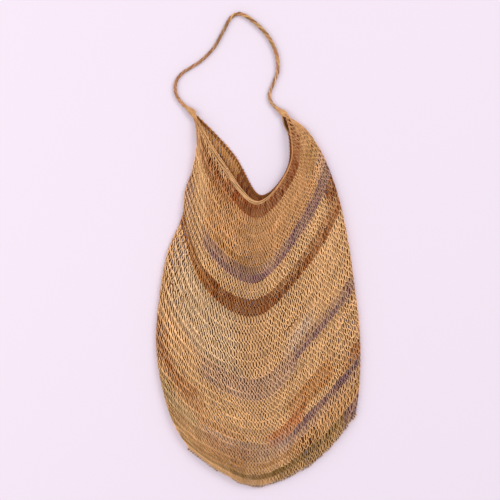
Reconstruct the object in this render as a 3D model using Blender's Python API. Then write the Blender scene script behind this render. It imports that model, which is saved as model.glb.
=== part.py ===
"""A looped-string bag lying flat on its back, with its strap laid out in an open loop above the mouth.

The body is one hollow pouch, worked in the round, closed at the bottom and open at its V-shaped mouth.
It is laid out on a map of its rows. A row runs across a layer from the left fold to the right fold,
row 0 is the rim of the mouth, and the last row is the bottom. Blender units are metres, +Z is up, +Y
points from the bottom of the bag to its strap, and the origin is under the middle of the body.
"""

import bmesh
import bpy
import numpy as np

MM = 0.001

# Driving dimensions of the body, in millimetres.
WALL = 2.6  # one layer of looping
ROWS = 40  # rows from the rim to the bottom
RIM_ROUND = 0.35  # rows that the rounded rim takes
RIM_ROLL = 0.8  # how far the rolled rim stands proud of the front
FOLD_ROUND = 0.07  # share of a half row that rounds over at a side fold
SEAM_ROUND = 1.3  # rows that round over at the bottom
LINING_REACH = 0.955  # how far towards the folds the hollow reaches, as a share of a half row
HOLLOW_ROWS = 39.0  # the row where the hollow closes

# Driving dimensions of the strap, in millimetres.
STRAP_DIAMETER = 5.2
STRAP_STEP = 2.3  # diameters from one point of the tube to the next
STRAP_RISE = 1.0  # how far its ends climb to the corners of the mouth
STRAP_CLIMB = 25.0  # the length over which they climb
FLOOR_GAP = 0.05  # keeps the tube's facets off the surface

# Where the rows of the front lie, in millimetres from the body's left edge and from its lowest point.
#    row   left fold  left middle   centre    right middle  right fold
FRONT_ROWS = (
    (0, (53, 486), (88, 426), (134, 372), (175, 419), (172, 485)),
    (3, (56, 455), (76, 395), (132, 341), (188, 395), (197, 469)),
    (6, (51, 421), (73, 359), (132, 311), (194, 365), (214, 446)),
    (10, (40, 390), (72, 311), (133, 273), (198, 335), (229, 415)),
    (14, (36, 356), (68, 269), (133, 233), (205, 299), (242, 376)),
    (19, (16, 307), (62, 211), (133, 182), (206, 247), (254, 320)),
    (24, (4, 237), (59, 161), (134, 134), (206, 198), (262, 265)),
    (29, (2, 174), (62, 112), (134, 92), (206, 148), (268, 218)),
    (33, (11, 124), (66, 73), (134, 57), (206, 109), (270, 177)),
    (37, (27, 79), (76, 39), (136, 23), (209, 65), (268, 129)),
    (40, (47, 49), (89, 18), (136, 0), (209, 31), (263, 94)),
)
PLACES = (-1.0, -0.5, 0.0, 0.5, 1.0)  # the same five places, as shares of a half row from the centre

# The back's rim stands above the front's, so that the inside of the back shows. In millimetres.
#                 left fold  left middle  centre  right middle  right fold
BACK_RIM_SHIFT = ((0, 0), (14, 8), (4, 8), (-2, -2), (0, 0))
BACK_SHIFT_ROWS = 9.0  # the row by which the two layers lie alike

# How far apart the two layers stand at the middle of a row, in millimetres.
#              row  gap
GAPS = ((0, 6.0), (4, 8.5), (8, 9.5), (32, 9.5), (36, 8.5), (40, 4.5))
FOLD_GAP = 0.8  # at the side folds
GAP_POWER = 9.0  # a high power keeps the front nearly level between the folds

# The gathers and swells of the front, in millimetres from the same edges. A negative rise is a hollow.
#     start       end      half width  rise
SWELLS = (
    ((59, 478), (80, 388), 4.5, 1.8),
    ((68, 452), (98, 376), 5.0, -1.0),
    ((54, 452), (55, 405), 4.0, 1.4),
    ((176, 474), (194, 424), 4.5, 1.9),
    ((184, 470), (212, 420), 4.0, -1.0),
    ((192, 474), (226, 420), 4.5, 1.3),
    ((228, 250), (240, 120), 20.0, 0.5),
    ((34, 230), (52, 110), 18.0, 0.5),
    ((96, 320), (88, 110), 15.0, -0.4),
    ((160, 300), (166, 90), 22.0, 0.4),
)

# The strap's route from the left corner of the mouth to the right one, in millimetres from the same edges.
STRAP_ROUTE = (
    (52.3, 486.7), (46, 492), (37, 500), (29, 511), (27, 521), (29, 531), (36, 540), (48, 548),
    (59, 555), (69, 564), (78, 574), (85, 586), (91, 597), (96, 607), (101, 614), (109, 618),
    (119, 615), (130, 607), (142, 596), (151, 584), (158, 569), (161, 555), (161, 544), (157, 531),
    (152, 519), (150, 511), (152, 503), (159, 495), (165, 490), (171.3, 486.4),
)  # fmt: skip

# How finely the body is faceted.
ACROSS = 26
BODY_ROWS = (1, 2, 3, 4.5, 6, 7.5, 9, 11, 13, 15, 17, 19, 21, 23, 25, 27, 29, 31, 33, 35, 36.5, 37.8)


def smooth_through(knots, values, at):
    """Reads a smooth curve through values, given at knots, at each place in at."""
    knots = np.asarray(knots, float)
    values = np.asarray(values, float)
    at = np.asarray(at, float)
    flat = values.reshape(len(knots), -1)
    step = np.diff(knots)[:, None]
    rise = np.diff(flat, axis=0) / step
    slope = np.empty_like(flat)
    slope[1:-1] = (rise[:-1] * step[1:] + rise[1:] * step[:-1]) / (step[:-1] + step[1:])
    slope[0] = 1.5 * rise[0] - 0.5 * slope[1]
    slope[-1] = 1.5 * rise[-1] - 0.5 * slope[-2]
    i = np.clip(np.searchsorted(knots, at, side="right") - 1, 0, len(knots) - 2)
    wide = step[i]
    s = (at[:, None] - knots[i, None]) / wide
    start = (2 * s**3 - 3 * s**2 + 1) * flat[i] + (s**3 - 2 * s**2 + s) * wide * slope[i]
    end = (3 * s**2 - 2 * s**3) * flat[i + 1] + (s**3 - s**2) * wide * slope[i + 1]
    return (start + end).reshape(at.shape + values.shape[1:])


def row_points(row, across, back=False):
    """The places of one row, in millimetres, at shares of a half row from the centre."""
    knots = [line[0] for line in FRONT_ROWS]
    layout = np.array([line[1:] for line in FRONT_ROWS], float)
    five = smooth_through(knots, layout, [row])[0]
    if back:
        five = five + np.array(BACK_RIM_SHIFT) * max(0.0, 1 - row / BACK_SHIFT_ROWS) ** 2
    return smooth_through(PLACES, five, across)


def swell(places):
    """The rise of the front's gathers and swells at each place, in millimetres."""
    total = np.zeros(len(places))
    for start, end, half_width, rise in SWELLS:
        start, along = np.array(start, float), np.subtract(end, start)
        share = np.clip((places - start) @ along / (along @ along), 0, 1)
        away = np.linalg.norm(places - start - share[:, None] * along, axis=1)
        total += rise * np.exp(-((away / half_width) ** 2)) * np.sin(np.pi * (0.15 + 0.7 * share))
    return total


def gap_at(row, across):
    """How far the layers stand apart, in millimetres."""
    middle = smooth_through([g[0] for g in GAPS], [[g[1]] for g in GAPS], [row])[0, 0]
    return FOLD_GAP + (middle - FOLD_GAP) * (1 - np.abs(across) ** GAP_POWER)


def roundness(row, across):
    """1 on the flat of the bag, falling to 0 in a quarter circle at the side folds and the bottom."""
    fold = np.clip((np.abs(across) - 1 + FOLD_ROUND) / FOLD_ROUND, 0, 1)
    seam = np.clip((row - ROWS + SEAM_ROUND) / SEAM_ROUND, 0, 1)
    return np.sqrt((1 - fold**2) * (1 - seam**2))


def outer_heights(row, across, places):
    """Heights of the outer surfaces of the back and the front, in millimetres."""
    top = 2 * WALL + gap_at(row, across) + swell(places)
    top += RIM_ROLL * np.exp(-(((row - 0.8) / 0.7) ** 2)) * (1 - np.abs(across))
    middle = WALL + 0.5 * FOLD_GAP
    whole = roundness(row, across)
    return middle * (1 - whole), middle + (top - middle) * whole


def inner_heights(row, across, places):
    """Heights of the hollow's floor and roof, in millimetres."""
    floor = np.full(len(across), WALL)
    inner = across / LINING_REACH
    closing = np.clip((row - HOLLOW_ROWS + 4) / 4, 0, 1)
    room = gap_at(row, across) * (1 - np.abs(inner) ** (2 * GAP_POWER)) * np.sqrt(1 - closing**2)
    roof = floor + room + swell(places) * (1 - closing) * (1 - np.abs(inner) ** 4)
    return floor, roof


def ring(bm, row, reach, heights):
    """One closed ring of vertices round the bag: the front from left to right, then the back."""
    across = reach * np.sin(np.linspace(-np.pi / 2, np.pi / 2, ACROSS + 1))
    front = row_points(row, across)
    back = row_points(row, across, back=True)
    low, high = heights(row, across, front)
    made = [bm.verts.new((x * MM, y * MM, z * MM)) for (x, y), z in zip(front, high)]
    for i in range(ACROSS - 1, 0, -1):
        made.append(bm.verts.new((back[i][0] * MM, back[i][1] * MM, low[i] * MM)))
    return made


def bridge(bm, first, second):
    """Joins two rings with a band of quads."""
    count = len(first)
    for i in range(count):
        j = (i + 1) % count
        bm.faces.new((first[i], first[j], second[j], second[i]))


def close_ends(bm, last, row, reach, height):
    """Closes a ring of the bag onto a single line of vertices at the bottom."""
    across = reach * np.sin(np.linspace(-np.pi / 2, np.pi / 2, ACROSS + 1))
    line = [bm.verts.new((x * MM, y * MM, height * MM)) for x, y in row_points(row, across)]
    count = len(last)
    for i in range(ACROSS):
        bm.faces.new((last[i], last[i + 1], line[i + 1], line[i]))
        under, beside = (count - i) % count, count - i - 1
        bm.faces.new((last[beside], last[under], line[i], line[i + 1]))


def fabric(name, colour, roughness):
    """A plain dyed-string finish."""
    material = bpy.data.materials.new(name)
    material.use_nodes = True
    shader = material.node_tree.nodes["Principled BSDF"]
    shader.inputs["Base Color"].default_value = (*colour, 1)
    shader.inputs["Roughness"].default_value = roughness
    shader.inputs["Metallic"].default_value = 0
    return material


def make_body():
    """The hollow pouch: an outer skin and a hollow, joined by the rounded rim."""
    bm = bmesh.new()
    outer_rows = (RIM_ROUND, *BODY_ROWS, ROWS - SEAM_ROUND, ROWS - 0.6, ROWS - 0.15)
    inner_rows = (RIM_ROUND, *BODY_ROWS[:-1], HOLLOW_ROWS - 1.4, HOLLOW_ROWS - 0.5)
    outer = [ring(bm, row, 1.0, outer_heights) for row in outer_rows]
    inner = [ring(bm, row, LINING_REACH, inner_heights) for row in inner_rows]
    for rings in (outer, inner):
        for first, second in zip(rings, rings[1:]):
            bridge(bm, first, second)
    rim = rim_ring(bm, outer[0], inner[0])
    bridge(bm, outer[0], rim)
    bridge(bm, rim, inner[0])
    close_ends(bm, outer[-1], ROWS, 1.0, WALL + 0.5 * FOLD_GAP)
    close_ends(bm, inner[-1], HOLLOW_ROWS, LINING_REACH, WALL)
    bmesh.ops.recalc_face_normals(bm, faces=bm.faces)
    mesh = bpy.data.meshes.new("bag_body")
    bm.to_mesh(mesh)
    bm.free()
    mesh.shade_smooth()
    body = bpy.data.objects.new("bag_body", mesh)
    bpy.context.collection.objects.link(body)
    body.data.materials.append(fabric("looped_string", (0.52, 0.33, 0.17), 0.9))
    return body


def rim_ring(bm, outer, inner):
    """The crest of the rim, on row 0, midway in height between the skin and the hollow."""
    across = np.sin(np.linspace(-np.pi / 2, np.pi / 2, ACROSS + 1))
    front = row_points(0, across)
    back = row_points(0, across, back=True)
    places = list(front) + list(back[ACROSS - 1 : 0 : -1])
    made = []
    for (x, y), skin, hollow in zip(places, outer, inner):
        made.append(bm.verts.new((x * MM, y * MM, 0.5 * (skin.co.z + hollow.co.z))))
    return made


def strap_points():
    """Evenly spaced places along the strap, in millimetres, on one smooth curve through its route."""
    route = np.array(STRAP_ROUTE, float)
    knots = np.r_[0, np.cumsum(np.linalg.norm(np.diff(route, axis=0), axis=1))]
    fine = smooth_through(knots, route, np.linspace(0, knots[-1], 2000))
    length = np.r_[0, np.cumsum(np.linalg.norm(np.diff(fine, axis=0), axis=1))]
    count = round(length[-1] / (STRAP_STEP * STRAP_DIAMETER)) + 1
    even = np.linspace(0, length[-1], count)
    x = np.interp(even, length, fine[:, 0])
    y = np.interp(even, length, fine[:, 1])
    climb = np.clip(1 - np.minimum(even, length[-1] - even) / STRAP_CLIMB, 0, 1)
    z = STRAP_DIAMETER / 2 + FLOOR_GAP + STRAP_RISE * climb**2 * (3 - 2 * climb)
    return np.stack([x, y, z], 1)


def make_strap():
    """The carrying strap: a round cord that lies on the surface from corner to corner."""
    curve = bpy.data.curves.new("strap", "CURVE")
    curve.dimensions = "3D"
    curve.bevel_depth = STRAP_DIAMETER / 2 * MM
    curve.bevel_resolution = 2
    curve.use_fill_caps = True
    points = strap_points() * MM
    spline = curve.splines.new("POLY")
    spline.points.add(len(points) - 1)
    for point, place in zip(spline.points, points):
        point.co = (*place, 1)
    strap = bpy.data.objects.new("strap", curve)
    bpy.context.collection.objects.link(strap)
    strap.data.materials.append(fabric("plaited_string", (0.55, 0.36, 0.2), 0.88))
    return strap


def main():
    for old in list(bpy.data.objects):
        bpy.data.objects.remove(old)
    body = make_body()
    strap = make_strap()
    corners = np.array([vertex.co for vertex in body.data.vertices])
    middle = (corners.min(axis=0) + corners.max(axis=0)) / 2
    for piece in (body, strap):
        piece.location = (-middle[0], -middle[1], 0)


main()
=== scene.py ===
"""A looped-string bag, laid flat on its back, with its plaited strap in an open loop above the mouth."""

import bpy
import numpy as np
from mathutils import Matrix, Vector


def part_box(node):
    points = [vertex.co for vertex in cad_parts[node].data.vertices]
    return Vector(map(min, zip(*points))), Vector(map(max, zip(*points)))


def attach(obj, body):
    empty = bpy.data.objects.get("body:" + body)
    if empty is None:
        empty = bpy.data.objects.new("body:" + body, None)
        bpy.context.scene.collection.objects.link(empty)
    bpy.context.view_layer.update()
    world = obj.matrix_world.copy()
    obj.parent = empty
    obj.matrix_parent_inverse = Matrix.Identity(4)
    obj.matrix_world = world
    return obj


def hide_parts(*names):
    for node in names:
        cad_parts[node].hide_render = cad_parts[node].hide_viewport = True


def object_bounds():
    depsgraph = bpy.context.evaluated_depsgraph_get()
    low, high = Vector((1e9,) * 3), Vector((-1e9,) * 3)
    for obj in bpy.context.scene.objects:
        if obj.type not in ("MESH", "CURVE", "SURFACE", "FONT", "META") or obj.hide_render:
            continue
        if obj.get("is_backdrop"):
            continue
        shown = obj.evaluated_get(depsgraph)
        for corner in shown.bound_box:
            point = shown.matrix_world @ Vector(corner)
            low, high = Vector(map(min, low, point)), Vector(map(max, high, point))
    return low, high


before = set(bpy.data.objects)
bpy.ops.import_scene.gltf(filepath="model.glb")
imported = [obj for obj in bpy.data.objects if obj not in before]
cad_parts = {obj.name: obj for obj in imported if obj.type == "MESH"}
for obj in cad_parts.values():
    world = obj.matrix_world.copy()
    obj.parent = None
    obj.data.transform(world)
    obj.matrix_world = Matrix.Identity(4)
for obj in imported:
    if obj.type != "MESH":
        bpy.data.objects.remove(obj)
cad_low, cad_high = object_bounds()

# ---------------------------------------------------------------------------------------------
# Camera. The bag lies on a table and is seen from straight above, so the camera looks down on a
# square of the table 650 mm wide, a little more than the bag and its strap are long.
# ---------------------------------------------------------------------------------------------
SEEN_WIDTH = 0.65
LEFT_OF_MIDDLE = 0.0107  # where the camera stands, off the middle of the bag and strap
BELOW_MIDDLE = 0.0009
FOCUS_HEIGHT = 0.01  # the height at which it sees that width
camera = bpy.data.objects.new("camera", bpy.data.cameras.new("camera"))
bpy.context.collection.objects.link(camera)
bpy.context.scene.camera = camera
camera.data.sensor_width = 36
camera.data.lens = 100
camera.location = (
    (cad_low.x + cad_high.x) / 2 - LEFT_OF_MIDDLE,
    (cad_low.y + cad_high.y) / 2 - BELOW_MIDDLE,
    FOCUS_HEIGHT + SEEN_WIDTH * camera.data.lens / camera.data.sensor_width,
)
camera.data.clip_end = 10

# ---------------------------------------------------------------------------------------------
# Strap. The real one is a thin round cord, finely plaited from the bag's own string; here three plies
# of two strings each wind round one another. It is thinner on the left, and its ends open out and are
# worked into the mouth's corners.
# ---------------------------------------------------------------------------------------------
MM = 0.001
UP = np.array((0, 0, 1.0))
# The route from the left corner of the mouth to the right one, in millimetres from the body's left
# edge and from its lowest point.
STRAP_ROUTE = (
    (52.3, 486.7), (46, 492), (37, 500), (29, 511), (27, 521), (29, 531), (36, 540), (48, 548),
    (59, 555), (69, 564), (78, 574), (85, 586), (91, 597), (96, 607), (101, 614), (109, 618),
    (119, 615), (130, 607), (142, 596), (151, 584), (158, 569), (161, 555), (161, 544), (157, 531),
    (152, 519), (150, 511), (152, 503), (159, 495), (165, 490), (171.3, 486.4),
)
STRAP_DIAMETER = 5.2
STRAP_CLEAR = 0.1  # left free between the strap and the table
STRAP_RISE = 1.0  # how far its ends climb to the corners of the mouth
STRAP_CLIMB = 25.0  # the length over which they climb
# How full the strap is.
#    share of the length, share of the diameter
STRAP_FULL = (
    (0.00, 1.15),
    (0.06, 0.95),
    (0.25, 0.88),
    (0.45, 0.90),
    (0.55, 1.00),
    (0.75, 1.00),
    (0.94, 0.92),
    (1.00, 1.10),
)
PLIES = 3
LAY_LENGTH = 3.6  # a ply goes once round in this many thicknesses, and
LAY_AT_LEAST = 3.5  # this many millimetres more
PLY_OUT = 0.27  # how far the plies' middles are from the strap's, as a share of its thickness
YARN_OUT = 0.1  # and the two strings' middles from their ply's
YARN_RADIUS = 0.155
YARN_TURNS = 2.7  # turns of the two strings for each turn of the plies
STRAP_OPENING = 0.9  # how much wider and flatter the plies lie at the strap's ends
OPENING_LENGTH = 12.0


def smooth_through(knots, values, at):
    """Reads a smooth curve through values, given at knots, at each place in at."""
    knots = np.asarray(knots, float)
    values = np.asarray(values, float)
    at = np.asarray(at, float)
    flat = values.reshape(len(knots), -1)
    step = np.diff(knots)[:, None]
    rise = np.diff(flat, axis=0) / step
    slope = np.empty_like(flat)
    slope[1:-1] = (rise[:-1] * step[1:] + rise[1:] * step[:-1]) / (step[:-1] + step[1:])
    slope[0] = 1.5 * rise[0] - 0.5 * slope[1]
    slope[-1] = 1.5 * rise[-1] - 0.5 * slope[-2]
    i = np.clip(np.searchsorted(knots, at, side="right") - 1, 0, len(knots) - 2)
    wide = step[i]
    s = (at[:, None] - knots[i, None]) / wide
    start = (2 * s**3 - 3 * s**2 + 1) * flat[i] + (s**3 - 2 * s**2 + s) * wide * slope[i]
    end = (3 * s**2 - 2 * s**3) * flat[i + 1] + (s**3 - s**2) * wide * slope[i + 1]
    return (start + end).reshape(at.shape + values.shape[1:])


def read_table(table, at):
    """Reads smooth curves through a table's lines, whose first column says where each line stands."""
    return smooth_through([line[0] for line in table], [line[1:] for line in table], at)


def hue(red, green, blue):
    """A colour on the usual 0 to 255 scale, as the shader wants it."""
    share = np.array([red, green, blue]) / 255
    return np.where(share <= 0.04045, share / 12.92, ((share + 0.055) / 1.055) ** 2.4)


PAINTED_UNDERSIDE_SHADE = 0.27  # painted shade: the light left under a string, as a share of that on top
PAINTED_SHADE_FALLOFF = (1, 1.5, 2.3)  # how fast red, green and blue fall off in that painted shade


def string_tube(line, radius, up, sides, colour, shaded_under=PAINTED_UNDERSIDE_SHADE, press=1.0):
    """One string: a closed round tube along line, (points, 3) in millimetres, with a colour at each point.
    Shade is painted into its colour, darker under the string than on top, and deepest in blue. A string that
    is pressed flat is less high than wide, by press."""
    run = np.gradient(line, axis=0)
    run /= np.linalg.norm(run, axis=1, keepdims=True)
    beside = np.cross(run, up)
    beside /= np.maximum(np.linalg.norm(beside, axis=1, keepdims=True), 1e-9)
    over = np.cross(beside, run)
    turn = (np.arange(sides) + (sides % 4) / 4) * 2 * np.pi / sides  # with a corner straight up
    radius = np.broadcast_to(radius, (len(line),))[:, None, None]
    ring = np.cos(turn)[None, :, None] * beside[:, None]
    ring = ring + press * np.sin(turn)[None, :, None] * over[:, None]
    verts = (line[:, None] + radius * ring).reshape(-1, 3)
    first = np.arange(len(line) - 1)[:, None] * sides + np.arange(sides)
    second = np.roll(first, -1, axis=1)
    quads = np.stack([first, second, second + sides, first + sides], -1).reshape(-1, 4)
    caps = np.stack([np.arange(sides)[::-1], (len(line) - 1) * sides + np.arange(sides)])
    # painted shade: each string is lit on top and shaded round the side away from up
    painted_shade = shaded_under + (1 - shaded_under) * ((1 + np.sin(turn)) / 2) ** 1.5
    colour = colour[:, None] * painted_shade[None, :, None] ** np.array(PAINTED_SHADE_FALLOFF)
    return verts, quads, caps, colour.reshape(-1, 3)


def string_piece(name, tubes, material):
    """Joins tubes into one mesh piece, in metres, with the dyes and their painted shade kept as a colour on
    each vertex.
    """
    starts = np.r_[0, np.cumsum([len(t[0]) for t in tubes])]
    verts = np.concatenate([t[0] for t in tubes]) * MM
    quads = np.concatenate([t[1] + s for t, s in zip(tubes, starts)])
    caps = np.concatenate([t[2] + s for t, s in zip(tubes, starts)])
    sides = caps.shape[1]
    mesh = bpy.data.meshes.new(name)
    mesh.vertices.add(len(verts))
    mesh.vertices.foreach_set("co", verts.ravel())
    corners = np.concatenate([quads.ravel(), caps.ravel()])
    mesh.loops.add(len(corners))
    mesh.loops.foreach_set("vertex_index", corners)
    mesh.polygons.add(len(quads) + len(caps))
    first = np.r_[np.arange(len(quads)) * 4, len(quads) * 4 + np.arange(len(caps)) * sides]
    mesh.polygons.foreach_set("loop_start", first)
    mesh.update(calc_edges=True)
    mesh.shade_smooth()
    # each string lies in a strip of its own on the map, end to end across and round about upwards
    margin, spacing = 0.01, 0.05  # left free at a strip's ends, and at its sides as a share of its height
    strips, end_discs = [], []
    for n, tube in enumerate(tubes):
        points = len(tube[0]) // sides
        at, side = np.meshgrid(np.arange(points - 1), np.arange(sides), indexing="ij")
        wide = margin + (1 - 2 * margin) * np.stack([at, at, at + 1, at + 1], -1) / (points - 1)
        high = spacing + (1 - 2 * spacing) * np.stack([side, side + 1, side + 1, side], -1) / sides
        strips.append(np.stack([wide, (n + high) / len(tubes)], -1).reshape(-1, 2))
        rim = np.arange(sides) * 2 * np.pi / sides
        disc = 0.4 * np.stack([margin * np.cos(rim), np.sin(rim) / len(tubes)], -1)
        middle_up = (n + 0.5) / len(tubes)
        end_discs += [disc + (at_end, middle_up) for at_end in (margin / 2, 1 - margin / 2)]
    strips += end_discs
    mesh.uv_layers.new(name="OFBake").data.foreach_set("uv", np.concatenate(strips).ravel())
    # these colours hold the dyes together with the strings' painted shade
    dye = np.concatenate([t[3] for t in tubes])
    layer = mesh.color_attributes.new("dye", "FLOAT_COLOR", "POINT")
    layer.data.foreach_set("color", np.c_[dye, np.ones(len(dye))].ravel())
    piece = bpy.data.objects.new(name, mesh)
    bpy.context.collection.objects.link(piece)
    mesh.materials.append(material)
    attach(piece, "root")
    return piece


def string_finish(name, roughness, twist):
    """Spun plant fibre: the dye with its painted shade, mottled along the string, over a fine bump of twisted
    fibres.
    """
    material = bpy.data.materials.new(name)
    material.use_nodes = True
    nodes, links = material.node_tree.nodes, material.node_tree.links
    shader = nodes["Principled BSDF"]
    shader.inputs["Roughness"].default_value = roughness
    shader.inputs["Specular IOR Level"].default_value = 0.15
    shader.inputs["Sheen Weight"].default_value = 0.05
    shader.inputs["Sheen Roughness"].default_value = 0.5
    # the dyes with their painted shade, as kept on the vertices
    dye = nodes.new("ShaderNodeAttribute")
    dye.attribute_name = "dye"
    mottle = nodes.new("ShaderNodeTexNoise")
    mottle.inputs["Scale"].default_value = 900
    mottle.inputs["Detail"].default_value = 3
    shade = nodes.new("ShaderNodeMapRange")
    shade.inputs["From Min"].default_value = 0.3
    shade.inputs["From Max"].default_value = 0.7
    shade.inputs["To Min"].default_value = 0.78
    shade.inputs["To Max"].default_value = 1.18
    tint = nodes.new("ShaderNodeVectorMath")
    tint.operation = "SCALE"
    links.new(mottle.outputs["Fac"], shade.inputs["Value"])
    links.new(dye.outputs["Color"], tint.inputs[0])
    links.new(shade.outputs["Result"], tint.inputs["Scale"])
    links.new(tint.outputs[0], shader.inputs["Base Color"])
    fibre = nodes.new("ShaderNodeTexNoise")
    fibre.inputs["Scale"].default_value = twist
    fibre.inputs["Detail"].default_value = 2
    bump = nodes.new("ShaderNodeBump")
    bump.inputs["Strength"].default_value = 0.35
    bump.inputs["Distance"].default_value = 0.0003
    links.new(fibre.outputs["Fac"], bump.inputs["Height"])
    links.new(bump.outputs["Normal"], shader.inputs["Normal"])
    return material


def wander(at, step, rng):
    """An uneven value, 0 on average, that changes slowly along at."""
    knots = np.arange(at.min() - step, at.max() + 2 * step, step)
    return np.interp(at, knots, rng.normal(size=len(knots)))


route = np.array(STRAP_ROUTE, float)
knots = np.r_[0, np.cumsum(np.linalg.norm(np.diff(route, axis=0), axis=1))]
fine = smooth_through(knots, route, np.linspace(0, knots[-1], 3000))
run_length = np.r_[0, np.cumsum(np.linalg.norm(np.diff(fine, axis=0), axis=1))]
strap_length = run_length[-1]
along = np.linspace(0, strap_length, 300)
strap_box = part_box("strap")
shift = np.array(
    [
        strap_box[0][0] / MM + STRAP_DIAMETER / 2 - fine[:, 0].min(),
        strap_box[1][1] / MM - STRAP_DIAMETER / 2 - fine[:, 1].max(),
        0,
    ]
)
full = STRAP_DIAMETER * read_table(STRAP_FULL, along / strap_length)[:, 0]
climb = np.clip(1 - np.minimum(along, strap_length - along) / STRAP_CLIMB, 0, 1)
strap_line = np.stack(
    [
        np.interp(along, run_length, fine[:, 0]),
        np.interp(along, run_length, fine[:, 1]),
        full / 2 + STRAP_CLEAR + STRAP_RISE * climb**2 * (3 - 2 * climb),
    ],
    1,
)
strap_line += shift
run = np.gradient(strap_line, axis=0)
run /= np.linalg.norm(run, axis=1, keepdims=True)
across_strap = np.cross(run, UP)
across_strap /= np.linalg.norm(across_strap, axis=1, keepdims=True)
over_strap = np.cross(across_strap, run)
rng = np.random.default_rng(5)
# The plies' dyes, by share of the length.  share, ply 1, ply 2, ply 3
STRAP_DYES = (
    (0.00, (205, 160, 110), (196, 150, 104), (214, 172, 124)),
    (0.12, (190, 140, 105), (180, 128, 92), (170, 120, 84)),
    (0.22, (196, 140, 112), (150, 108, 76), (186, 146, 108)),
    (0.32, (176, 128, 94), (192, 146, 108), (160, 116, 84)),
    (0.44, (182, 146, 108), (168, 124, 88), (154, 116, 80)),
    (0.50, (214, 170, 112), (190, 132, 100), (150, 112, 72)),
    (0.62, (204, 164, 118), (190, 150, 104), (150, 108, 66)),
    (0.72, (210, 152, 100), (186, 128, 92), (176, 146, 98)),
    (0.84, (196, 152, 118), (160, 118, 96), (206, 162, 122)),
    (1.00, (222, 178, 128), (204, 158, 110), (212, 168, 120)),
)
STRAP_BLEACH = 1.2  # how much paler the strings have worn than their dyes, and
STRAP_MOTTLE = 0.14  # how much that varies
# painted shade under the strap's strings: the light left there, as a share of that on top
STRAP_PAINTED_SHADE = 0.45
dyes = np.array([[hue(*c) for c in line[1:]] for line in STRAP_DYES])
ply_dyes = smooth_through([line[0] for line in STRAP_DYES], dyes, along / strap_length)
strap_tubes = []
for ply in range(PLIES):
    angle = 2 * np.pi * (ply / PLIES + np.cumsum(np.gradient(along) / (LAY_LENGTH * full + LAY_AT_LEAST)))
    out = PLY_OUT * full
    near_end = np.clip(1 - np.minimum(along, strap_length - along) / OPENING_LENGTH, 0, 1)
    open_ends = 1 + STRAP_OPENING * near_end**2
    centre = strap_line + (out * open_ends * np.cos(angle))[:, None] * across_strap
    centre = centre + (out * np.sin(angle) / open_ends)[:, None] * over_strap
    colour = ply_dyes[:, ply] * (STRAP_BLEACH + STRAP_MOTTLE * wander(along, 7, rng))[:, None]
    for half in (0, np.pi):
        twist = (angle * YARN_TURNS + half)[:, None]
        sideways = np.cos(twist) * across_strap + np.sin(twist) * over_strap
        yarn = centre + (YARN_OUT * full)[:, None] * sideways
        strap_tubes.append(string_tube(yarn, YARN_RADIUS * full, over_strap, 8, colour, STRAP_PAINTED_SHADE))
strap = string_piece("strap_cord", strap_tubes, string_finish("plaited_string", 0.8, 1500))
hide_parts("strap")

# ---------------------------------------------------------------------------------------------
# Body. A net of plant-fibre string, looped in the round with a needle: each row hangs in the one
# before in tall narrow loops, whose string crosses itself. Dyed lengths of string give the bands.
# ---------------------------------------------------------------------------------------------
# Where the rows of the front lie, in millimetres from the body's left edge and from its lowest point.
#    row   left fold  left middle   centre    right middle  right fold
FRONT_ROWS = (
    (0, (53, 486), (88, 426), (134, 372), (177, 421), (172, 485)),
    (3, (56, 455), (76, 395), (132, 341), (185, 398), (197, 469)),
    (6, (51, 421), (73, 359), (132, 311), (188, 372), (214, 446)),
    (10, (40, 390), (72, 311), (133, 273), (194, 341), (229, 415)),
    (14, (36, 356), (68, 269), (133, 233), (202, 302), (242, 376)),
    (19, (16, 307), (62, 211), (135, 180), (206, 247), (254, 320)),
    (24, (4, 237), (60, 161), (138, 129), (206, 197), (262, 265)),
    (29, (2, 174), (64, 112), (142, 86), (206, 146), (268, 218)),
    (33, (11, 124), (69, 73), (146, 51), (207, 106), (270, 177)),
    (37, (27, 79), (78, 39), (142, 21), (209, 64), (268, 129)),
    (40, (47, 49), (89, 18), (136, 0), (209, 31), (263, 94)),
)
PLACES = np.array((-1.0, -0.5, 0.0, 0.5, 1.0))  # the same five places, as shares of a half row
# The back's rim stands above the front's, so that the inside of the back shows.
BACK_RIM_SHIFT = ((0, 0), (14, 8), (4, 8), (-2, -2), (0, 0))
BACK_SHIFT_ROWS = 9.0  # and comes back to the front's place over this many rows
WALL = 2.6
ROWS = 40  # the rows of that map
#              row  gap between the two layers
GAPS = ((0, 6.0), (4, 8.5), (8, 9.5), (32, 9.5), (36, 8.5), (40, 4.5))
FOLD_GAP = 0.8
GAP_POWER = 9.0  # how suddenly the layers close at the folds
FOLD_ROUND = 0.07  # the share of a half row that the rounding of a fold takes up, seen from above
FOLD_TURN = 0.1057  # and along the net itself
FOLD_INSET = 0.988  # the middle of the wall at a fold, as a share of its outside
SEAM_ROUND = 1.3  # the rows in which the bottom rounds to the seam
# The gathers and swells of the front.
#     start       end      half width  rise
SWELLS = (
    ((59, 478), (80, 388), 4.5, 1.8),
    ((68, 452), (98, 376), 5.0, -1.0),
    ((54, 452), (55, 405), 4.0, 1.4),
    ((176, 474), (194, 424), 4.5, 1.9),
    ((184, 470), (212, 420), 4.0, -1.0),
    ((192, 474), (226, 420), 4.5, 1.3),
    ((228, 250), (240, 120), 20.0, 0.5),
    ((34, 230), (52, 110), 18.0, 0.5),
    ((96, 320), (88, 110), 15.0, -0.4),
    ((160, 300), (166, 90), 22.0, 0.4),
)
STRING = 1.3  # the string's diameter
NET_ROWS = 37
NET_END = 39.6  # where the net stops on the map of the rows, and the seam runs
#            row, loops across one side of the bag
LOOPS = ((0, 64), (8, 66), (18, 74), (26, 72), (32, 66), (36, 62), (40, 60))
MOUTH_ROWS = 3  # the rows that count as near the mouth, and
MIXED_ROWS = 13  # those over which the loops change to how they stand lower down
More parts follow.
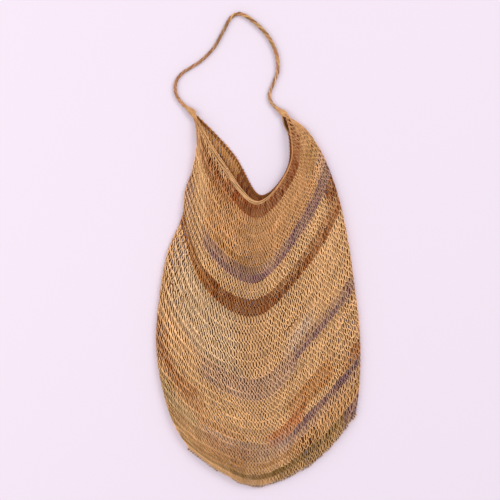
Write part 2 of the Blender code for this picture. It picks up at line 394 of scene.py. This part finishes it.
# How closely the loops stand round the bag. Round runs from -1 at the left fold over the front to 1,
# and on over the back to 3.
#    round, near the mouth, lower down
CLOSENESS = (
    (-1.0, 0.50, 0.65),
    (-0.5, 0.62, 0.95),
    (0.0, 1.4, 1.1),
    (0.5, 0.95, 1.0),
    (1.0, 0.62, 0.7),
    (1.5, 0.95, 1.0),
    (2.0, 1.4, 1.15),
    (2.5, 0.8, 0.95),
    (3.0, 0.50, 0.65),
)
HOURGLASS = 0.34  # how much higher the string crosses in some loops, in rows
UPRIGHT = 0.9  # how far the legs hang straight where the rows slant
LOOSE_BREADTH = 5.0  # loops narrower or lower than these are crowded
LOOSE_HEIGHT = 7.5
PULLED_THIN = 0.55  # the thinnest string, as a share of the full one
EVENING = 0.5  # how far each row of loops evens out the one before
FEET_UNEVEN = 0.06  # how far the bights stand off their places, in loops
ROW_WAVE = 0.1  # how far a row rises and falls, in rows
# The strings of the back are pressed flat under the load of the bag. Shade is painted on their inner face,
# which lies in the bag's shadow: lighter inside the mouth, darker lower down.
BACK_PRESS = 0.3
BACK_NEAR_MOUTH_SHADE_AND_BREADTH = (0.5, 2.1)  # the light left on the inner face by painted shade, and the breadth as a share of the string's
BACK_LOWER_SHADE_AND_BREADTH = (0.3, 1.75)
INSIDE_ROWS = 6  # the rows of the back that show inside the mouth
# On the front's right the first row is worked over the cord of the rim.
OVER_RIM_OUT = 1.1  # how far its string stands out there, in millimetres
OVER_RIM_UP = 0.12  # and how far up it reaches, in rows
NET_MOTTLE = (0.08, 0.24)  # how much the dye varies from stretch to stretch and from loop to loop
PAINTED_DEPTH_LIGHT = 0.2  # and by how much light and shade are painted on: paler where the string stands out, darker where it sinks in
# One loop, from the bottom of the bight on its left to that on its right.
#    across, in loops   down, in rows   out, in string diameters
LOOP = np.array((
    (-0.50, 1.00, -0.1),
    (-0.30, 0.94, -0.3),
    (0.00, 0.82, -0.5),
    (0.28, 0.66, -0.3),
    (0.34, 0.40, 0.1),
    (0.30, 0.14, 0.55),
    (0.15, -0.04, 0.45),
    (0.00, -0.10, 0.0),
    (-0.15, -0.04, -0.45),
    (-0.30, 0.14, -0.55),
    (-0.34, 0.40, -0.1),
    (-0.28, 0.66, 0.3),
    (0.00, 0.82, 0.5),
    (0.30, 0.94, 0.3),
))


def map_places(row, across, back):
    """Places on the map of the rows, (points, 2) in millimetres. back is 0 on the front and 1 on the back."""
    five = read_table(FRONT_ROWS, row)
    fade = np.clip(1 - row / BACK_SHIFT_ROWS, 0, 2)[:, None, None] ** 2
    five = five + np.array(BACK_RIM_SHIFT) * fade * back[:, None, None]
    rise = np.diff(five, axis=1) / 0.5
    slope = np.empty_like(five)
    slope[:, 1:-1] = (rise[:, :-1] + rise[:, 1:]) / 2
    slope[:, 0] = 1.5 * rise[:, 0] - 0.5 * slope[:, 1]
    slope[:, -1] = 1.5 * rise[:, -1] - 0.5 * slope[:, -2]
    i = np.clip(np.searchsorted(PLACES, across, side="right") - 1, 0, 3)
    s = ((across - PLACES[i]) / 0.5)[:, None]
    n = np.arange(len(row))
    start = (2 * s**3 - 3 * s**2 + 1) * five[n, i] + (s**3 - 2 * s**2 + s) * 0.5 * slope[n, i]
    end = (3 * s**2 - 2 * s**3) * five[n, i + 1] + (s**3 - s**2) * 0.5 * slope[n, i + 1]
    return start + end


def swell(places):
    """The rise of the front's gathers and swells at each place, in millimetres."""
    total = np.zeros(len(places))
    for start, end, half_width, rise in SWELLS:
        start, along = np.array(start, float), np.subtract(end, start)
        share = np.clip((places - start) @ along / (along @ along), 0, 1)
        away = np.linalg.norm(places - start - share[:, None] * along, axis=1)
        total += rise * np.exp(-((away / half_width) ** 2)) * np.sin(np.pi * (0.15 + 0.7 * share))
    return total


def middle_of_wall(around, row):
    """Places half way through the net's thickness."""
    around = (np.asarray(around, float) + 1) % 4 - 1
    back = around > 1
    across = np.where(back, 2 - around, around)
    bend = np.clip((np.abs(across) - 1 + FOLD_TURN) / FOLD_TURN, 0, 1) * np.pi / 2
    flat = np.abs(across) * (1 - FOLD_ROUND) / (1 - FOLD_TURN)
    reach = np.where(bend > 0, 1 - FOLD_ROUND + FOLD_ROUND * np.sin(bend), flat)
    across = np.sign(across) * reach * FOLD_INSET
    seam = np.clip((row - ROWS + SEAM_ROUND) / SEAM_ROUND, 0, 1)
    whole = np.cos(bend) * np.sqrt(1 - seam**2)
    places = map_places(row, across, back.astype(float))
    gap = read_table(GAPS, row)[:, 0]
    gap = FOLD_GAP + (gap - FOLD_GAP) * (1 - np.abs(across) ** GAP_POWER)
    height = np.where(back, WALL / 2, 1.5 * WALL + gap + np.where(back, 0, swell(places)))
    middle = WALL + FOLD_GAP / 2
    return np.c_[places, middle + (height - middle) * whole]


def on_net(around, row, out):
    """Places on the net, out millimetres off the middle of its wall, and the way out there."""
    here = middle_of_wall(around, row)
    step = 0.01
    sideways = middle_of_wall(around + step, row) - middle_of_wall(around - step, row)
    down = middle_of_wall(around, row + 10 * step) - middle_of_wall(around, row - 10 * step)
    way = np.cross(down, sideways)
    way /= np.maximum(np.linalg.norm(way, axis=1, keepdims=True), 1e-9)
    places = here + way * np.asarray(out)[:, None]
    places[:, 2] = np.maximum(places[:, 2], STRING / 2 + 0.03)
    return places + shift, way


TAN = hue(255, 206, 152)  # natural string
# The dyed lengths, in the order in which they were worked in. Across is -1 at the left fold, 1 at the right.
#    from row, to row, from across, to across, colour, strength
DYES = (
    (0.1, 2.2, -0.3, 0.6, (166, 92, 50), 0.85),
    (0.1, 1.9, 0.6, 0.9, (184, 112, 66), 0.6),
    (1.0, 3.2, -0.85, -0.3, (176, 104, 58), 0.7),
    (2.4, 8.4, -0.5, 0.75, (226, 160, 102), 0.5),
    (2.6, 6.0, 0.75, 0.97, (204, 150, 84), 0.5),
    (6.6, 8.6, 0.93, 1.0, (186, 142, 140), 0.6),
    (7.6, 9.2, -1.0, -0.88, (190, 146, 142), 0.55),
    (7.4, 9.2, -0.4, -0.1, (212, 154, 92), 0.6),
    (9.1, 11.0, -0.15, 0.35, (172, 130, 130), 0.85),
    (8.8, 11.0, 0.35, 1.0, (178, 138, 136), 0.8),
    (9.0, 11.0, -0.54, -0.15, (178, 138, 136), 0.8),
    (11.0, 13.2, 0.84, 1.0, (166, 92, 48), 0.8),
    (13.2, 15.0, -1.0, -0.45, (190, 124, 66), 0.8),
    (13.0, 15.0, -0.45, 0.1, (172, 104, 54), 0.85),
    (13.3, 14.8, 0.1, 1.0, (176, 106, 58), 0.8),
    (15.2, 22.0, -0.85, -0.2, (255, 222, 182), 0.6),
    (18.0, 19.2, -0.6, -0.2, (220, 196, 160), 0.3),
    (21.0, 22.2, -0.6, -0.15, (216, 188, 160), 0.4),
    (20.0, 22.4, 0.28, 0.45, (255, 226, 204), 0.55),
    (23.0, 24.8, 0.3, 1.0, (178, 140, 136), 0.8),
    (22.8, 25.6, -0.45, 0.3, (208, 172, 158), 0.5),
    (24.5, 26.5, -1.0, -0.9, (204, 134, 78), 0.6),
    (26.5, 28.5, -1.0, -0.82, (214, 140, 92), 0.55),
    (28.0, 30.6, -0.85, -0.55, (190, 122, 70), 0.6),
    (28.6, 32.2, 0.3, 0.65, (220, 148, 82), 0.6),
    (31.0, 33.0, 0.85, 1.0, (214, 140, 80), 0.6),
    (31.2, 33.4, 0.05, 0.35, (222, 128, 76), 0.6),
    (30.0, 36.0, -1.0, -0.86, (186, 162, 116), 0.5),
    (31.5, 33.5, -0.86, -0.6, (190, 168, 130), 0.5),
    (30.6, 32.6, -0.55, -0.2, (200, 140, 90), 0.5),
    (33.0, 34.8, 0.2, 0.4, (172, 136, 136), 0.75),
    (33.1, 34.7, 0.4, 1.0, (164, 126, 128), 0.8),
    (35.2, 37.4, 0.3, 0.96, (216, 158, 100), 0.5),
    (32.5, 34.8, -0.5, 0.2, (212, 178, 162), 0.55),
    (33.4, 35.4, -0.5, -0.15, (206, 140, 84), 0.45),
    (35.4, 37.2, -0.7, -0.25, (200, 136, 80), 0.5),
    (35.0, 36.8, -0.25, 0.3, (208, 150, 94), 0.5),
    (33.6, 36.8, -1.0, -0.55, (206, 158, 106), 0.5),
    (36.8, 38.4, -0.9, -0.3, (160, 124, 72), 0.45),
    (37.2, 38.6, -0.3, 0.15, (148, 112, 60), 0.75),
    (37.8, 39.1, 0.15, 0.86, (144, 112, 62), 0.8),
    (37.8, 39.6, 0.86, 1.0, (156, 120, 128), 0.8),
)


def dye(row, across, luck):
    """The string's colour at a loop: natural, or taken from the dyed lengths in turn, with ragged ends."""
    colour = np.repeat(TAN[None], len(row), axis=0)
    ragged = 0.05 + 0.08 * luck[:, 0]
    for low, high, left, right, shade, strength in DYES:
        inside = np.clip((across - left + ragged) / 0.1, 0, 1)
        inside = inside * np.clip((right - across + ragged) / 0.1, 0, 1)
        inside = inside * np.clip((row - low) / 0.5 + 0.5, 0, 1) * np.clip((high - row) / 0.5 + 0.5, 0, 1)
        share = (strength * inside * (0.75 + 0.5 * luck[:, 1])).clip(0, 1)[:, None]
        colour = colour * (1 - share) + hue(*shade) * share
    return colour


def spread(places, row):
    """Takes places in even steps round the bag to where the loops really stand in that row."""
    knots = np.linspace(-1, 3, 401)
    turns = np.floor((places + 1) / 4)
    stands = []
    for column in (1, 2):
        close = np.interp(knots, [c[0] for c in CLOSENESS], [c[column] for c in CLOSENESS])
        passed = np.r_[0, np.cumsum((close[1:] + close[:-1]) / 2)]
        stands.append(np.interp((places + 1) / 4 - turns, passed / passed[-1], knots) + 4 * turns)
    lower = np.clip((row - MOUTH_ROWS) / MIXED_ROWS, 0, 1)
    return stands[0] * (1 - lower) + stands[1] * lower


def loops_round(row):
    """The number of loops in a row, all round the bag."""
    return 2 * round(float(np.interp(row, [line[0] for line in LOOPS], [line[1] for line in LOOPS])))


def lie_of_loops(heads, row):
    """How steeply the row runs at each loop, and how thin the string is pulled there."""
    nudge = 0.02
    middle = np.full(len(heads), row + 0.5 * row_rise)
    right_of, left_of = spread(heads + nudge, row), spread(heads - nudge, row)
    sideways = middle_of_wall(right_of, middle) - middle_of_wall(left_of, middle)
    here = spread(heads, row)
    downward = middle_of_wall(here, middle + 5 * nudge) - middle_of_wall(here, middle - 5 * nudge)
    steep = 5 * (sideways * downward).sum(1) / (downward**2).sum(1)
    length = np.linalg.norm(sideways, axis=1)
    breadth = length / (2 * nudge) * 4 / len(heads)
    height = np.linalg.norm(np.cross(sideways, downward), axis=1) / length / (10 * nudge) * row_rise
    return steep, np.clip(np.minimum(breadth / LOOSE_BREADTH, height / LOOSE_HEIGHT), PULLED_THIN, 1)


rng = np.random.default_rng(11)
row_rise = NET_END / NET_ROWS
count = loops_round(0)
heads = np.arange(count) * 4 / count - 1
front_rows, back_rows = [], []
for k in range(NET_ROWS):
    row = k * row_rise
    # the needle skips loops where the row has fewer than the one above
    skipped = len(heads) - loops_round(row)
    if skipped > 0:
        drop = np.sort(rng.permutation(len(heads) // 2)[:skipped] * 2)
        heads = np.delete(heads, drop)
    count = len(heads)
    even = heads[0] + np.arange(count) * 4 / count
    even += (((heads - even + 2) % 4) - 2).mean()
    off = ((even - heads + 2) % 4) - 2
    feet = heads + off * EVENING + rng.normal(size=count) * FEET_UNEVEN * 4 / count
    gap_left = (feet - np.roll(feet, 1)) % 4
    gap_right = (np.roll(feet, -1) - feet) % 4
    wave = ROW_WAVE * wander(feet, 0.07, rng)
    luck = rng.random((count, 4))
    # (loop, point) tables of where the string goes
    px, pt, ph = LOOP[None, :, 0], LOOP[None, :, 1], LOOP[None, :, 2]
    lean = (((feet - heads + 2) % 4) - 2)[:, None]
    width = np.where(px < 0, gap_left[:, None], gap_right[:, None])
    # some loops cross high up, like an hourglass, and the others near the bight
    near_crossing = np.exp(-(((pt - 0.75) / 0.32) ** 2)) * np.clip((1 - pt) / 0.1, 0, 1)
    high = HOURGLASS * luck[:, 2, None] ** 2 * near_crossing
    around = heads[:, None] + lean * np.clip(pt, 0, 1) + px * width * (0.88 + 0.24 * luck[:, 1, None])
    down = row + row_rise * (pt - high) + wave[:, None] * (0.3 + 0.7 * pt)
    # where the rows run steeply the legs still hang straight, one as low as the other
    steep, drawn = lie_of_loops(heads, row)
    down = down - UPRIGHT * (steep[:, None] * px * width) * (pt < 0.9) * (pt > 0)
    out = ph * STRING * (0.9 + 0.3 * luck[:, 3, None]) * drawn[:, None]
    if k == 0:
        over_rim = np.clip(around / 0.2, 0, 1) * np.clip((1.1 - around) / 0.1, 0, 1)
        out = out + over_rim * np.sign(ph) * OVER_RIM_OUT * np.exp(-(((pt - 0.05) / 0.2) ** 2))
        down = down - over_rim * OVER_RIM_UP * np.exp(-((pt / 0.2) ** 2))
    # the string runs on from loop to loop, from the left fold round the front and the back
    order = np.argsort(heads)
    down, out, luck = down[order].ravel(), out[order].ravel(), luck[order]
    down = np.clip(down, -0.2, ROWS)
    around = spread(around[order].ravel(), down)
    places, way = on_net(around, down, out)
    stands = spread(heads[order], row)
    across_here = np.where(stands > 1, 2 - stands, stands)
    colour = dye(np.full(count, row + 0.5 * row_rise), across_here, luck)
    stretches = NET_MOTTLE[0] * wander(np.arange(count), 8, rng)
    colour = colour * (1.05 + stretches + NET_MOTTLE[1] * (luck[:, 3] - 0.5))[:, None]
    # painted light and shade: paler where the loop's string stands out, darker where it sinks into the net
    painted_depth_light = 1 + PAINTED_DEPTH_LIGHT * np.tile(LOOP[:, 2], count)
    colour = np.repeat(colour, len(LOOP), axis=0) * painted_depth_light[:, None]
    split = int(np.searchsorted(stands, 1.0)) * len(LOOP)
    radius = STRING / 2 * np.repeat((0.94 + 0.12 * luck[:, 0]) * drawn[order], len(LOOP))
    front = slice(split + 1)
    # the front's strings take string_tube's painted shade, darker underneath
    front_rows.append(string_tube(places[front], radius[front], way[front], 6, colour[front]))
    # painted shade on the back strings' inner face, and their breadth
    inside, broad = BACK_NEAR_MOUTH_SHADE_AND_BREADTH if k < INSIDE_ROWS else BACK_LOWER_SHADE_AND_BREADTH
    back = slice(split, None)
    pressed = string_tube(places[back], broad * radius[back], way[back], 4, colour[back], inside, BACK_PRESS)
    back_rows.append(pressed)
    # the next row hangs in the bights of this one
    heads = np.sort((feet + gap_right / 2 + 1) % 4 - 1)

net_string = string_finish("looped_string", 0.85, 1800)
#    piece, its rows, where it runs: from, to round the bag, from row, to row; what it lies on
PANELS = (
    ("back_upper", back_rows[:18], (1, 3, 0, 18), []),
    ("back_lower", back_rows[18:], (1, 3, 18, 37), []),
    ("front_upper", front_rows[:13], (-1, 1, 0, 13), ["back_upper"]),
    ("front_middle", front_rows[13:25], (-1, 1, 13, 25), ["back_upper", "back_lower"]),
    ("front_lower", front_rows[25:], (-1, 1, 25, 37), ["back_lower"]),
)


def worked_size(left, right, top, bottom):
    """The breadth and length of a stretch of the net as it was worked, in metres."""
    at_round, at_row = np.linspace(left, right, 60), np.linspace(top, bottom, 40) * row_rise
    across, row = np.meshgrid(at_round, at_row, indexing="ij")
    places = on_net(across.ravel(), row.ravel(), np.zeros(row.size))[0].reshape(60, 40, 3) * MM
    sideways, down = np.diff(places, axis=0), np.diff(places, axis=1)
    breadth = np.linalg.norm(sideways, axis=2).sum(0).mean()
    area = np.linalg.norm(np.cross(sideways[:, :-1], down[:-1]), axis=2).sum()
    return breadth, area / breadth


for name, tubes, stretch, under_it in PANELS:
    string_piece(name, tubes, net_string)
    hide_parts("bag_body")
    if name not in ("front_upper", "front_lower"):  # those two wait for the pieces that are worked onto them
        worked_size(*stretch)

# ---------------------------------------------------------------------------------------------
# Rim. The mouth's edge is a bundle of strings that the first row is looped over. It is rolled over
# and broad on the front's left, and thin on the right and along the back.
# ---------------------------------------------------------------------------------------------
#     around, half breadth, half height, rows below the edge, colour
RIM = (
    (-1.00, 1.2, 0.9, 0.00, (200, 148, 100)),
    (-0.85, 2.0, 1.1, 0.18, (208, 156, 106)),
    (-0.60, 2.7, 1.3, 0.25, (216, 166, 116)),
    (-0.20, 2.6, 1.3, 0.20, (222, 174, 126)),
    (0.00, 1.8, 1.1, 0.12, (220, 172, 122)),
    (0.30, 1.4, 1.0, 0.05, (212, 158, 108)),
    (0.80, 1.3, 0.9, 0.05, (198, 146, 100)),
    (1.00, 1.2, 0.9, 0.00, (190, 138, 92)),
    (1.40, 1.4, 0.9, 0.05, (176, 120, 76)),
    (2.00, 1.4, 0.9, 0.05, (190, 134, 86)),
    (2.60, 1.4, 0.9, 0.05, (182, 126, 80)),
    (3.00, 1.2, 0.9, 0.00, (200, 148, 100)),
)
RIM_STRINGS = 8
RIM_TURN = 260.0  # the length in which its strings wind once round
RIM_PROUD = 0.5  # how far the front's rim stands off the net
ROW_AT_RIM = 10.0  # the height of a row at the mouth
# painted shade under the rim's strings, as a share of the light on top
RIM_PAINTED_SHADE = 0.5
RIM_WANDER = 0.3  # how unevenly its strings wind
RIM_MOTTLE = 0.12
around = np.linspace(-1, 3, 900)
half_breadth, half_height, below = read_table([line[:4] for line in RIM], around).T
rim_dye = smooth_through([line[0] for line in RIM], [hue(*line[4]) for line in RIM], around)
edge, _ = on_net(around, 0 * around, 0 * around)
edge_run = np.r_[0, np.cumsum(np.linalg.norm(np.diff(edge, axis=0), axis=1))]
rim_tubes = []
for n in range(RIM_STRINGS):
    turn = 2 * np.pi * (n / RIM_STRINGS + edge_run / RIM_TURN) + RIM_WANDER * wander(around, 0.1, rng)
    row = below + half_breadth * np.cos(turn) / ROW_AT_RIM
    out = half_height * np.sin(turn) + np.where(np.abs(around) < 1, RIM_PROUD, 0)
    places, way = on_net(around, row, out)
    girth = np.pi * (half_breadth + half_height) / RIM_STRINGS
    colour = rim_dye * (1 + RIM_MOTTLE * wander(around, 0.03, rng))[:, None]
    rim_tubes.append(string_tube(places, 0.5 * girth, way, 6, colour, RIM_PAINTED_SHADE))
rim_piece = string_piece("mouth_rim", rim_tubes, net_string)
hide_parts("bag_body")

# ---------------------------------------------------------------------------------------------
# Corners. The strap's strings are worked on into the net at the mouth's two corners, where they fan
# out as pleats over the first rows.
# ---------------------------------------------------------------------------------------------
#  end of the strap, across at the corner, outermost and innermost string of the fan: across, row
FANS = (
    (0, -0.985, (-0.965, 5.0), (-0.72, 3.4)),
    (-1, 0.985, (0.965, 5.0), (0.74, 3.2)),
)
FAN_STRINGS = 8
FAN_TAPER = (0.85, 0.25)  # a string's radius at the strap, and what it loses by its end
FAN_HEIGHT = (1.5, 2.2)  # how far it lies off the net at the corner, and what it sinks by its end
FAN_START = (0.15, 0.25)  # where it comes onto the net: across, as a share of the way, and the row
FAN_TAN = TAN * 0.35 + hue(196, 140, 92) * 0.65
# Where a string leaves the strap.
#    points back from the strap's end, how far the strings lie apart, from the outermost to the innermost
LEAVING = ((14, 1.2), (9, 2.0), (4, 3.2))
FAN_POINTS = 40  # of a string on the net
MARKED = [0, 1, 2, 9, 18, 30, 42]  # the points that it is drawn through
fan_tubes = []
for end, corner, outermost, innermost in FANS:
    back_along = 1 if end == 0 else -1
    for n in range(FAN_STRINGS):
        share = n / (FAN_STRINGS - 1)
        side = (share - 0.5) * back_along
        across_end, row_end = np.array(outermost) + (np.array(innermost) - outermost) * share
        at = np.linspace(0, 1, FAN_POINTS)
        around = corner + (across_end - corner) * (FAN_START[0] + (1 - FAN_START[0]) * at)
        row = FAN_START[1] + (row_end - FAN_START[1]) * at
        on_body, _ = on_net(around, row, FAN_HEIGHT[0] - FAN_HEIGHT[1] * at**2)
        on_strap = strap_line[[end + back_along * back for back, _ in LEAVING]]
        apart = np.array([apart for _, apart in LEAVING])[:, None]
        beside = across_strap[end + back_along * 6] * apart * 2 * side
        joined = np.concatenate([on_strap + beside + (0, 0, 1.2), on_body])
        lengths = np.r_[0, np.cumsum(np.linalg.norm(np.diff(joined, axis=0), axis=1))]
        at = np.linspace(0, 1, 70)
        line = smooth_through(lengths[MARKED], joined[MARKED], at * lengths[-1])
        line += (0.35 * wander(at, 0.08, rng))[:, None] * np.array((1, 0.4, 0.5))
        colour = FAN_TAN * (1 + 0.18 * wander(at, 0.06, rng))[:, None]
        # the fan strings take string_tube's painted shade as well
        fan_tubes.append(string_tube(line, FAN_TAPER[0] - FAN_TAPER[1] * at, UP, 6, colour))
# At the right corner the strap's lowest string runs on down the back's edge. The three dark brown strings
# beside it are painted shade: they stand in for the shadow inside the corner.
CORNER_EDGE = ((166.5, 488), (167.5, 481), (169, 474), (172.5, 466.5), (177.5, 459))
CORNER_PARTING = (0.6, 1, 1, 0.9, 0.2)  # how far the strings part at each of those points
#    inward, height, radius, colour
CORNER_CORD_AND_SHADE_STRINGS = (
    (0.0, 3.4, 0.95, (200, 150, 104)),
    (1.7, 2.4, 1.0, (120, 70, 42)),
    (3.4, 2.2, 1.0, (96, 56, 36)),
    (4.8, 2.4, 0.9, (120, 72, 44)),
)
# the first is the cord; the three dark ones are painted shade for the shadow inside the corner
for inward, height, radius, shade in CORNER_CORD_AND_SHADE_STRINGS:
    aside = np.array((inward, 0.35 * inward)) * np.array(CORNER_PARTING)[:, None]
    points = np.c_[np.array(CORNER_EDGE, float) + aside, np.full(5, height)]
    line = smooth_through(range(5), points, np.linspace(0, 4, 40)) + shift
    fan_tubes.append(string_tube(line, radius, UP, 6, np.repeat(hue(*shade)[None], 40, axis=0)))
fans = string_piece("corner_fans", fan_tubes, net_string)
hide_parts("bag_body")
worked_size(-1, 1, 0, 13)

# ---------------------------------------------------------------------------------------------
# Bottom seam. The front and the back are closed along the bottom by a string that is whipped over
# their last row in small standing loops.
# ---------------------------------------------------------------------------------------------
SEAM_PITCH = 3.8
SEAM_REACH = 2.6  # how far the small loops reach either way over the edge, and
SEAM_UNEVEN = 0.9  # how much that varies
SEAM_OUTWARD = 0.15  # they stand out past the edge more than they reach in
SEAM_HEIGHT = 2.0
SEAM_RADIUS = 0.6
# painted shade under the seam's string, as a share of the light on top
SEAM_PAINTED_SHADE = 0.3
SEAM_TAN = TAN * 0.5 + hue(180, 146, 96) * 0.5
across = np.linspace(-0.995, 0.995, 400)
edge, _ = on_net(across, np.full(400, NET_END), np.zeros(400))
edge_run = np.r_[0, np.cumsum(np.linalg.norm(np.diff(edge, axis=0), axis=1))]
turns = int(edge_run[-1] / SEAM_PITCH)
at = np.linspace(0, edge_run[-1], turns * 14)
line = np.stack([np.interp(at, edge_run, edge[:, n]) for n in range(3)], 1)
run = np.gradient(line, axis=0)
run[:, 2] = 0
run /= np.linalg.norm(run, axis=1, keepdims=True)
outward = np.cross(run, -UP)
line[:, 2] = WALL + FOLD_GAP / 2
turn = np.linspace(0, 2 * np.pi * turns, len(at))[:, None]
reach = (SEAM_REACH + SEAM_UNEVEN * wander(at, SEAM_PITCH, rng))[:, None]
line = line + reach * (np.cos(turn) + SEAM_OUTWARD) * outward + SEAM_HEIGHT * np.sin(turn) * UP
line = line + (0.5 * np.sin(2 * turn) + 0.3 * wander(at, 4, rng)[:, None]) * run
colour = SEAM_TAN * (1 + 0.25 * wander(at, SEAM_PITCH / 2, rng))[:, None]
upward = np.cos(turn) * outward + np.sin(turn) * UP + 0.6 * UP
seam_tube = string_tube(line, SEAM_RADIUS, upward, 6, colour, SEAM_PAINTED_SHADE)
seam = string_piece("bottom_seam", [seam_tube], net_string)
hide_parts("bag_body")
worked_size(-1, 1, 25, 37)

# ---------------------------------------------------------------------------------------------
# Table. The bag is laid on a plain pale sheet that runs on well past it, under soft light from
# large lamps, with the fullest one high on the right.
# ---------------------------------------------------------------------------------------------
bpy.ops.mesh.primitive_plane_add(size=6, location=(0, 0, 0))
table = bpy.context.object
table.name = "table"
paper = bpy.data.materials.new("pale_paper")
paper.use_nodes = True
paper.node_tree.nodes["Principled BSDF"].inputs["Base Color"].default_value = (0.82, 0.72, 0.82, 1)
paper.node_tree.nodes["Principled BSDF"].inputs["Roughness"].default_value = 0.9
table.data.materials.append(paper)
table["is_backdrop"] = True

world = bpy.data.worlds.new("studio")
bpy.context.scene.world = world
world.use_nodes = True
world.node_tree.nodes["Background"].inputs["Color"].default_value = (1.0, 0.99, 1.0, 1)
world.node_tree.nodes["Background"].inputs["Strength"].default_value = 0.75
#    name, place, size, power
LAMPS = (
    ("key_lamp", (2.9, 2.2, 3.0), 2.0, 78),
    ("fill_lamp", (-1.5, 0.2, 1.3), 1.2, 10),
)
for name, place, size, power in LAMPS:
    lamp = bpy.data.objects.new(name, bpy.data.lights.new(name, "AREA"))
    lamp.data.size = size
    lamp.data.energy = power
    lamp.location = place
    aim = -np.array(place) / np.linalg.norm(place)
    lamp.rotation_euler = (np.arccos(-aim[2]), 0, np.arctan2(-aim[0], aim[1]))
    bpy.context.collection.objects.link(lamp)
bpy.context.scene.view_settings.view_transform = "Standard"

low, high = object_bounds()
